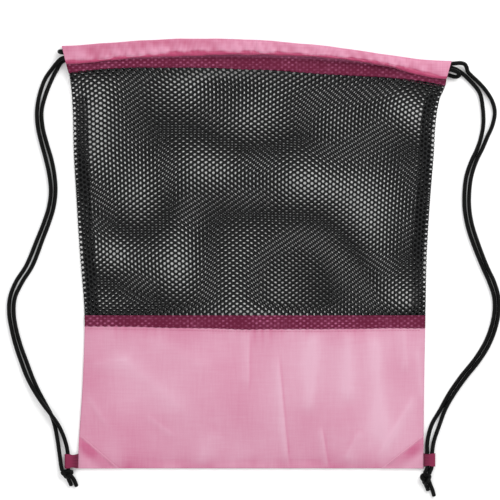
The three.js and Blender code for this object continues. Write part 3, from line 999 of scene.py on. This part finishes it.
# %%
# Casing tubes
def casing(name, side, low):
    """A hollow tube from one end of the mouth to its middle.

    Its section is an oval whose sine and cosine are raised to 0.6, c from the lower hem at -1
    to the upper at 1, and s from the underside at -1 to the face at 1.
    """
    turn = np.linspace(0, 2 * np.pi, 80, endpoint=False)
    c, s = (np.sign(f) * np.abs(f) ** 0.6 for f in (np.cos(turn), np.sin(turn)))
    ends = (-190.2, -194.6) if side == "left" else (189.5, 194.6)
    t = np.linspace(0, 1, 320)[:, None]
    end = lerp(*ends, (c + 1) / 2)
    x = lerp(end, 0, t) if side == "left" else lerp(0, end, t)
    middle = (casing_top(x) + casing_bottom(x)) / 2
    half = (casing_top(x) - casing_bottom(x)) / 2 - GAP
    thick, inside = thickness_at(x), fade(192, 172, np.abs(x))
    pucker, wave = puckers(x, c, half), scallops(x)
    tuck = 0.45 * wave * inside * fade(-0.6, -1, c)
    # Changed scallops: they set where the groove runs and how far up the painted hem shadow reaches,
    # further on the right and less far on the left.
    wave = wave - 0.9 * fade(0, 90, x) * fade(188, 160, x) + 0.5 * fade(-60, -120, x)
    y = middle + c * half + tuck + 0.3 * wander(x, 0, 44, 10, 50, 12) * inside * fade(0.4, 1, c)
    groove = 0.5 * inside * fade(0.2, 0, np.abs(c + 0.62 + 0.12 * wave))
    core = low(x) + thick / 2
    z = core + thick / 2 * s + (pucker + 0.25 - groove) * fade(0, 1, s)
    outer = np.stack([x, y, z], -1)
    centre = np.stack([x, middle, core + 0 * x], -1)
    shrink = np.stack([0 * x, np.abs(c) * WALL / half, np.abs(s) * WALL / (thick / 2)], -1)
    # Shade on the casing's face: a wavy painted shadow along the lower hem where the tube tucks under,
    # painted shade in the hollows of the wrinkles and painted light on their tops, and a deeper tone
    # on the upper half of the left part.
    hem_shadow = fade(-0.44 - 0.3 * np.clip(wave, -0.6, 1.1), -0.76 - 0.12 * wave, c) * 0.95
    shade = 0.2 - 0.5 * pucker + 0.2 * fade(40, -60, x) * fade(-0.1, 0.6, c) + hem_shadow
    shade = np.clip(shade * fade(-0.4, 0.2, s), 0, 1)
    points, faces = walled_tube(outer, outer + (centre - outer) * shrink)
    return make(name, points, faces, casing_pink, shade=shade), float(np.abs(x).max() * MM)


for layer in LAYERS:
    for side in SIDES:
        low = casing_height if layer == "front" else (lambda x: 0 * x + 0.1)
        tube_piece, long = casing(f"{layer}_casing_{side}", side, low)
        follow(tube_piece, side, "pink_taffeta", f"{layer}_casing")
        print(tube_piece.name, round(long / MM), "long")

# %% [markdown]
# ## Seams
# The bag is sewn up inside out and then turned, so its seam allowances lie inside. Through the
# net they show as a darker strip a little in from each edge, because there the net is doubled.
# Each is a narrow strip of the same net between the two layers, with a wavering cut edge.

# %%
# Side and bottom seams
SEAM_Z, TAPE, TAPE_LONG = 1.15, 10.2, 356
cells, faces = net_cells(TAPE, TAPE_LONG, (2.2, 2.1), 0)
for side, edge, inward in (("left", left_edge, 1), ("right", right_edge, -1)):
    y = lerp(-198, 158, cells[:, 1])
    waver = 0.5 * np.sin(y / 5.1) + 0.4 * np.sin(y / 2.3 + 1)
    s = cells[:, 0] if side == "left" else 1 - cells[:, 0]
    x = edge(y) + inward * (4 + (TAPE + waver) * s)
    points = np.stack([x, y, SEAM_Z + 0.16 * cells[:, 2]], -1)
    seam = make(f"{side}_seam_tape", points, faces, black)
    follow(seam, side, "black_net", f"{side}_side_seam")
x, y = np.meshgrid(np.linspace(-164, 150, 300), np.linspace(-214.4, -204.2, 9))
under = np.stack([x, y, SEAM_Z + 0.05 * np.sin(x / 3)], -1)
seam = make("bottom_seam_tape", *slab(under, under + (0, 0, 0.3)), pink)
follow(seam, None, "pink_taffeta", "bottom_seam")
print("seam tapes:", len(cells), "points each side")

# %% [markdown]
# ## Corner patches
# A triangle of the same pink cloth strengthens each bottom corner where the tab pulls. Its long
# edge is turned under, which leaves a soft ridge along the diagonal. The patch lies on the
# front layer and copies its height, so it can't cut into it.

# %%
# Corner patches
# For each side: its edge, where the diagonal starts and ends, and the way in
PATCH_TOP = -182
PATCHES = {"left": (left_edge, -137, -174.5, 1), "right": (right_edge, 124, 165, -1)}


def diagonal(side, y):
    """Where the patch's long edge is at height y."""
    _, low, high, _ = PATCHES[side]
    return lerp(low, high, (y - BOTTOM) / (PATCH_TOP - BOTTOM))


for side, (edge, low, high, inward) in PATCHES.items():
    y = np.linspace(BOTTOM + 0.1, PATCH_TOP, 60)[:, None]
    s = np.linspace(0, 1, 60)
    ends = (edge(y) + inward * 0.1, diagonal(side, y))
    x = lerp(*(ends if side == "left" else ends[::-1]), s)
    y = y + 0 * x
    away = np.abs(x - diagonal(side, y)) * 0.66
    corner = np.hypot(x - edge(y), y - BOTTOM)
    ripples = 0.3 * np.sin(corner / 3.1) * fade(2, 12, corner) * fade(0, 5, away)
    ridge = 0.4 * np.exp(-((away - 1.2) / 1.1) ** 2) + ripples
    under = np.stack([x, y, front(x, y) + 0.55 + 0 * x], -1)
    over = under + np.stack([0 * x, 0 * x, 0.35 + ridge * fade(0, 3, y - BOTTOM)], -1)
    # Shade: deeper pink over the whole patch and deeper still in a band beside the diagonal; painted
    # shade of folds makes it uneven in rays from the corner.
    rays = 0.72 + 0.28 * np.sin(5.2 * np.arctan2(y - BOTTOM + 4, np.abs(x - edge(y)) + 4) + 2.6)
    deep = fade(0.8, 3.5, away) * fade(17, 7, away) * fade(1, 7, corner)
    shade = (0.48 if side == "left" else 0.36) + 0.6 * rays * deep * fade(BOTTOM - 6, BOTTOM + 9, y)
    patch = make(f"{side}_patch_cloth", *slab(under, over), pink, shade=np.clip(shade, 0, 1))
    follow(patch, None, "pink_taffeta", f"{side}_corner_patch")
    wide, high = float(np.abs(ends[0] - ends[1]).mean() * 2 * MM), 0.0327
    print(patch.name, round(wide / MM), "wide")

# %% [markdown]
# ## Tabs
# A folded piece of ribbed webbing is sewn into each bottom corner, and the cords pass through
# its loop. Its section is a strip that comes out of the seam, goes round the cords and back
# into the seam. Fine ribs across it, a millimetre apart, are part of the surface.

# %%
# Webbing loops
# For each side: the loop's outer end, the bag's edge, the end of the tape in the seam, and the
# tape's lower and upper edge
LOOP, TAPE_HALF = 2.72, 0.2
TABS = {
    "left": (-192, -178.5, -168, -214.6, -200),
    "right": (178.7, 166.9, 157, -212.7, -199.3),
}
for side, (outer, root, tail, low, high) in TABS.items():
    sign = 1 if outer < root else -1
    centre, steps = outer + sign * 3, np.linspace(0, 1, 90)
    turn = np.linspace(np.pi / 2, 3 * np.pi / 2, 40)
    inside = abs(tail - root)
    rise = fade(inside - 0.6, inside + 1.6, steps * abs(tail - centre))
    top = np.stack([lerp(tail, centre, steps), lerp(1.35, 3 + LOOP, rise)], -1)[:-1]
    arc = np.stack([centre + sign * LOOP * np.cos(turn), 3 + LOOP * np.sin(turn)], -1)
    sink = fade(0.5, 0.95, steps)
    base = np.stack([lerp(centre, tail, steps), lerp(3 - LOOP, 0.85, sink)], -1)[1:]
    line = np.concatenate([top, arc, base])
    long = length_of(line)
    even = np.linspace(0, long, 190)
    line = points_at(line, even)
    lean = np.gradient(line, axis=0)
    out = np.stack([-lean[:, 1], lean[:, 0]], -1) / np.hypot(*lean.T)[:, None] * -sign
    y, halfway = np.linspace(low + 0.1, high - 0.1, 30), (low + high) / 2
    rib = 0.05 * np.sin(2 * np.pi * even / 1.1)
    wavy = 0.03 * np.sin(2 * np.pi * (y - low) / 1.6)
    pinch = (root + outer) / 2 + sign * 1.5
    sheets = []
    for way in (sign, -sign):
        thick = way * (TAPE_HALF + rib[:, None] + wavy)
        xz = line[:, None] + out[:, None] * thick[..., None]
        waist = 1 - 0.14 * np.exp(-((xz[..., 0] - pinch) / 3) ** 2)
        sheets.append(np.stack([xz[..., 0], halfway + (y - halfway) * waist, xz[..., 1]], -1))
    shadow = np.exp(-((sheets[0][..., 0] - root + sign * 1.5) / 4) ** 2)
    shade = 0.75 * shadow * (1 + 0.3 * np.sin(y * 2))
    tab = make(f"{side}_tab_webbing", *slab(*sheets), tab_pink, shade=shade)
    follow(tab, None, "tab_webbing", f"{side}_tab")
    print(tab.name, "unfolds to", round(long))

# %% [markdown]
# ## Stitches
# A lockstitch shows as a row of short threads with a small gap between them. Each stitch is a
# little bent rod, sunk at both ends: its height follows a half sine and its radius narrows to
# the ends. A row of them is worked out at once from the line that it follows.


# %%
# Rows of stitches
STITCH = 2.3


def stitches(name, line, side, material=thread, pitch=3.0, radius=0.2, lift=0.1):
    """Rods of thread along a line of points, pitch apart."""
    middles = np.arange(pitch / 2, length_of(line) - pitch / 2, pitch)
    u = np.linspace(0, 1, 7)
    spine = points_at(line, middles[:, None] + STITCH * (u - 0.5))
    spine[..., 2] += lift + radius * 0.9 * np.sin(np.pi * u)
    way = spine[:, -1] - spine[:, 0]
    way /= np.linalg.norm(way, axis=1)[:, None]
    across_it = np.cross((0, 0, 1), way)
    up = np.cross(way, across_it)
    turn = np.linspace(0, 2 * np.pi, 8, endpoint=False)
    slim = radius * (0.35 + 0.65 * np.sin(np.pi * u) ** 0.5)
    ring = (np.cos(turn)[:, None] * across_it[:, None, None]
            + np.sin(turn)[:, None] * up[:, None, None])
    points = spine[:, :, None] + slim[:, None, None] * ring
    body = grid_faces(7, 8, ring=True)
    i = np.arange(3)
    cap = np.stack([i, i + 1, 6 - i, 7 - i], -1)
    one = np.concatenate([body, cap[:, ::-1], cap + 48])
    faces = (one + 56 * np.arange(len(middles))[:, None, None]).reshape(-1, 4)
    made = make(name, points, faces, material)
    print(name, len(middles))
    return bend_with(made, side)


# %%
# Where the rows run
def on_front(x, y, high):
    """Points high above the front layer's underside."""
    return np.stack([x, y, front(x, y) + high], -1)


for side, sign in (("left", -1), ("right", 1)):
    x = np.linspace(1.5, 186, 120) * sign
    y = casing_bottom(x) - 2.2
    x = np.clip(x, left_edge(y) + 2, right_edge(y) - 2)
    stitches(f"casing_stitches_{side}", on_front(x, y, 0.9), side, maroon, radius=0.14, lift=0.04)
    row = on_front(x, net_top(x) + 1.3, 0.95)
    stitches(f"upper_band_stitches_{side}", row, side, maroon)
    y = np.linspace(NET_BOTTOM, 158, 160)
    x = left_edge(y) + 3.2 if sign < 0 else right_edge(y) - 3.2
    stitches(f"{side}_seam_stitches", on_front(x, y, 0.5), side, black)
    y = np.linspace(BOTTOM + 3, PATCH_TOP - 2, 60)
    row = on_front(diagonal(side, y) + sign * 2, y, 1.15)
    stitches(f"{side}_patch_stitches", row, None, pitch=2.8)
x = np.linspace(-170, 166, 240)
stitches("lower_band_stitches", on_front(x, NET_BOTTOM - 1.3 + 0 * x, 0.95), None, maroon)
stitches("panel_top_stitches", on_front(x, panel_top(x) - 2.4, 0.5), None)

# %% [markdown]
# ## Tacks at the mouth
# A few tight turns of thread close each end of the hem, between the front and back casings.
# Each tack is one thread wound fourteen times round, so it is a tube along a helix.

# %%
# Wound thread
WOUND, TURNS = 0.95, 14
for side in SIDES:
    low, high = (np.array(v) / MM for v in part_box(f"{side}_mouth_tack"))
    x, z = (low[0] + high[0]) / 2, (low[2] + high[2]) / 2
    t = np.linspace(0, 1, 400)
    turn = 2 * np.pi * TURNS * t
    line = np.stack([x + WOUND * np.cos(turn), lerp(low[1] + 0.4, high[1] - 0.4, t),
                     z + WOUND * np.sin(turn)], -1)
    tack = make(f"{side}_tack_thread", *tube(line, 0.32, sides=8, relief=0)[:2], black)
    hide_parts(f"{side}_mouth_tack")
    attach(tack, f"{side}_mouth_end")
    print(tack.name, round(length_of(line)), "of thread")
